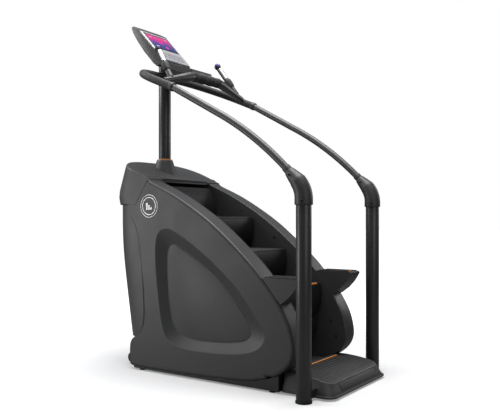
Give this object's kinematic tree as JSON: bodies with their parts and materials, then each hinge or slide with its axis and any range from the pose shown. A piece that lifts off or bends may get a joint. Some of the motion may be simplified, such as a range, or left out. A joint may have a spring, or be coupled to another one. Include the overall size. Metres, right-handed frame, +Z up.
{
  "type": "stair climber",
  "caption": "Stair climber with a revolving flight of steps between moulded side shells, entry platform, curved handrails and a console on a front mast.",
  "frame": {"origin": "middle of the footprint, on the floor", "axes": "+Z up, +Y the way the user faces (from the rear posts to the console), +X to the user's right"},
  "size_m": [0.8928, 1.528, 2.095],
  "materials": {
    "frame_steel": "satin black powder coat",
    "foot_rubber": "plain moulded rubber",
    "post_paint": "satin dark grey powder coat",
    "elbow_paint": "satin dark grey painted casting",
    "rail_paint": "satin mid grey metallic coat",
    "cover_plastic": "fine-textured moulded dark grey",
    "well_plastic": "fine-textured moulded near-black",
    "panel_plastic": "smooth satin grey",
    "badge_silver": "brushed silver",
    "inlet_plastic": "black",
    "amber_plastic": "translucent-looking amber",
    "tread_rubber": "ribbed black rubber",
    "platform_plastic": "fine-textured moulded dark grey",
    "grip_rubber": "soft-touch black",
    "sensor_steel": "polished sensor plate",
    "button_violet": "blue-violet button",
    "console_plastic": "fine-textured moulded dark grey",
    "bezel_silver": "silver lacquer",
    "screen_glass": "lit colour screen under clear glass",
    "button_amber": "amber cap in a black ring",
    "step_plastic": "moulded black, ribbed on the treads",
    "chain_steel": "oiled steel",
    "shaft_steel": "machined steel",
    "belt_rubber": "ribbed drive belt",
    "wheel_rubber": "hard rubber",
    "bolt_steel": "blackened steel"
  },
  "bodies": {
    "frame": {"base_frame": "frame_steel", "left_side_frame": "frame_steel", "right_side_frame": "frame_steel", "rear_crossmember": "frame_steel", "foot_pads": "foot_rubber", "mast": "post_paint", "left_side_cover": "cover_plastic", "right_side_cover": "cover_plastic", "left_inner_wall": "well_plastic", "right_inner_wall": "well_plastic", "accent_panels": "panel_plastic", "badges": "badge_silver", "front_cover": "cover_plastic", "kick_panel": "well_plastic", "floor_pan": "well_plastic", "power_inlet": "inlet_plastic", "hood": "cover_plastic", "mast_boot": "cover_plastic", "boot_ring": "amber_plastic", "left_wing": "cover_plastic", "right_wing": "cover_plastic", "wing_pads": "tread_rubber", "entry_platform": "platform_plastic", "platform_tread": "tread_rubber", "platform_marker": "amber_plastic", "left_rear_post": "post_paint", "right_rear_post": "post_paint", "left_post_elbow": "elbow_paint", "right_post_elbow": "elbow_paint", "elbow_bolts": "bolt_steel", "left_handrail": "rail_paint", "right_handrail": "rail_paint", "front_rail_loop": "grip_rubber", "crossbar": "post_paint", "crossbar_grip": "grip_rubber", "left_pulse_arm": "elbow_paint", "right_pulse_arm": "elbow_paint", "pulse_grips": "grip_rubber", "pulse_plates": "sensor_steel", "console_neck": "post_paint", "console_housing": "console_plastic", "console_bezel": "bezel_silver", "display": "screen_glass", "console_tray": "console_plastic", "drive_belt": "belt_rubber"},
    "climbing_run": {"step_1": "step_plastic", "step_2": "step_plastic", "step_3": "step_plastic", "front_chains": "chain_steel"},
    "return_run": {"return_steps": "step_plastic"},
    "upper_turn": {"upper_shaft": "shaft_steel", "top_step": "step_plastic"},
    "lower_turn": {"lower_shaft": "shaft_steel", "bottom_step": "step_plastic"},
    "brake_rotor": {"alternator": "shaft_steel"},
    "stop_key": {"stop_button": "button_amber"},
    "left_key": {"left_handle_button": "button_violet"},
    "right_key": {"right_handle_button": "button_violet"},
    "left_wheel": {"left_transport_wheel": "wheel_rubber"},
    "right_wheel": {"right_transport_wheel": "wheel_rubber"}
  },
  "joints": [
    {"name": "stair_travel", "type": "slide", "parent": "frame", "child": "climbing_run", "axis": [0, -0.7809, -0.6247], "range_m": [0, 0.12]},
    {"name": "return_travel", "type": "slide", "parent": "frame", "child": "return_run", "axis": [0, 0.7809, 0.6247], "range_m": [0, 0.12]},
    {"name": "upper_shaft_turn", "type": "hinge", "parent": "frame", "child": "upper_turn", "pos_m": [0, 0.457, 0.83], "axis": [1, 0, 0], "range_deg": [0, 58]},
    {"name": "lower_shaft_turn", "type": "hinge", "parent": "frame", "child": "lower_turn", "pos_m": [0, -0.221, 0.283], "axis": [1, 0, 0], "range_deg": [0, 58]},
    {"name": "brake_turn", "type": "hinge", "parent": "frame", "child": "brake_rotor", "pos_m": [0.316, 0.384, 0.3], "axis": [1, 0, 0], "range_deg": [0, 180]},
    {"name": "stop_press", "type": "slide", "parent": "frame", "child": "stop_key", "axis": [0, 0.723, -0.6909], "range_m": [0, 0.003], "stiffness_N_per_m": 700},
    {"name": "left_handle_press", "type": "slide", "parent": "frame", "child": "left_key", "axis": [-0.1383, -0.553, -0.8216], "range_m": [0, 0.003], "stiffness_N_per_m": 700},
    {"name": "right_handle_press", "type": "slide", "parent": "frame", "child": "right_key", "axis": [0.1383, -0.553, -0.8216], "range_m": [0, 0.003], "stiffness_N_per_m": 700},
    {"name": "left_wheel_spin", "type": "hinge", "parent": "frame", "child": "left_wheel", "pos_m": [-0.223, 0.654, 0.036], "axis": [1, 0, 0], "continuous": true},
    {"name": "right_wheel_spin", "type": "hinge", "parent": "frame", "child": "right_wheel", "pos_m": [0.223, 0.654, 0.036], "axis": [1, 0, 0], "continuous": true}
  ],
  "couplings": [
    {"joint": "return_travel", "follows": "stair_travel", "ratio": 1},
    {"joint": "upper_shaft_turn", "follows": "stair_travel", "rad_per_m": 8.4034},
    {"joint": "lower_shaft_turn", "follows": "stair_travel", "rad_per_m": 8.4034},
    {"joint": "brake_turn", "follows": "stair_travel", "rad_per_m": 25.952}
  ]
}
